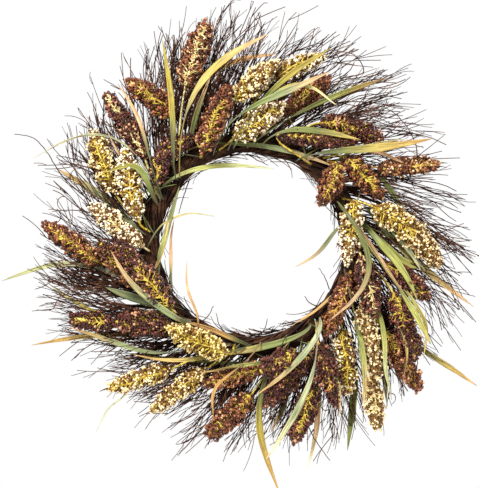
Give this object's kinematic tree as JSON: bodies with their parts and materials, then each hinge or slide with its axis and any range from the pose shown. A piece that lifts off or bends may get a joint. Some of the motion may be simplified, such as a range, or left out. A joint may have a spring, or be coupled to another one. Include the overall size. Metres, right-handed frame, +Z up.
{
  "type": "harvest wreath",
  "caption": "Round door wreath of seed heads, grass blades and fanned twigs on a twig rope wired to a hoop, with a swinging wire hanger bail.",
  "frame": {"origin": "the hanging point, on the underside of the top of the hanger bail at rest", "axes": "+Z up, toward the top of the wreath as it hangs; -Y is the front, away from the door; +X to the right as seen from the front"},
  "size_m": [0.6189, 0.0999, 0.6117],
  "materials": {
    "steel_wire": "dull dark wire",
    "twig_rope": "rough bark",
    "fine_twig": "rough bark",
    "sorghum_seed": "satin maroon seeds on a yellow spine",
    "millet_seed": "matt cream seeds on a yellow spine",
    "grass_blade": "satin leaf, green to yellow and peach"
  },
  "bodies": {
    "wreath": {"frame_ring": "steel_wire", "vine_rope": "twig_rope", "twig_bundle_1": "fine_twig", "twig_bundle_2": "fine_twig", "twig_bundle_3": "fine_twig", "twig_bundle_4": "fine_twig", "twig_bundle_5": "fine_twig", "twig_bundle_6": "fine_twig", "twig_bundle_7": "fine_twig", "back_tuft_1": "grass_blade", "back_tuft_2": "grass_blade", "back_tuft_3": "grass_blade", "back_tuft_4": "grass_blade", "front_tuft_1": "grass_blade", "front_tuft_2": "grass_blade", "front_tuft_3": "grass_blade", "front_tuft_4": "grass_blade", "sorghum_head_01": "sorghum_seed", "sorghum_head_02": "sorghum_seed", "sorghum_head_03": "sorghum_seed", "sorghum_head_04": "sorghum_seed", "sorghum_head_05": "sorghum_seed", "sorghum_head_06": "sorghum_seed", "sorghum_head_07": "sorghum_seed", "sorghum_head_08": "sorghum_seed", "sorghum_head_09": "sorghum_seed", "sorghum_head_10": "sorghum_seed", "sorghum_head_11": "sorghum_seed", "sorghum_head_12": "sorghum_seed", "sorghum_head_13": "sorghum_seed", "sorghum_head_14": "sorghum_seed", "sorghum_head_15": "sorghum_seed", "sorghum_head_16": "sorghum_seed", "sorghum_head_17": "sorghum_seed", "sorghum_head_18": "sorghum_seed", "sorghum_head_19": "sorghum_seed", "sorghum_head_20": "sorghum_seed", "sorghum_head_21": "sorghum_seed", "sorghum_head_22": "sorghum_seed", "sorghum_head_23": "sorghum_seed", "sorghum_head_24": "sorghum_seed", "sorghum_head_25": "sorghum_seed", "sorghum_head_26": "sorghum_seed", "sorghum_head_27": "sorghum_seed", "millet_head_01": "millet_seed", "millet_head_02": "millet_seed", "millet_head_03": "millet_seed", "millet_head_04": "millet_seed", "millet_head_05": "millet_seed", "millet_head_06": "millet_seed", "millet_head_07": "millet_seed", "millet_head_08": "millet_seed", "millet_head_09": "millet_seed", "millet_head_10": "millet_seed", "millet_head_11": "millet_seed", "millet_head_12": "millet_seed", "millet_head_13": "millet_seed", "millet_head_14": "millet_seed"},
    "bail": {"hanger_bail": "steel_wire"}
  },
  "joints": [
    {"name": "bail_hinge", "type": "hinge", "parent": "wreath", "child": "bail", "pos_m": [0, 0.00384, -0.02903], "axis": [-1, 0, 0], "range_deg": [0, 172]}
  ]
}
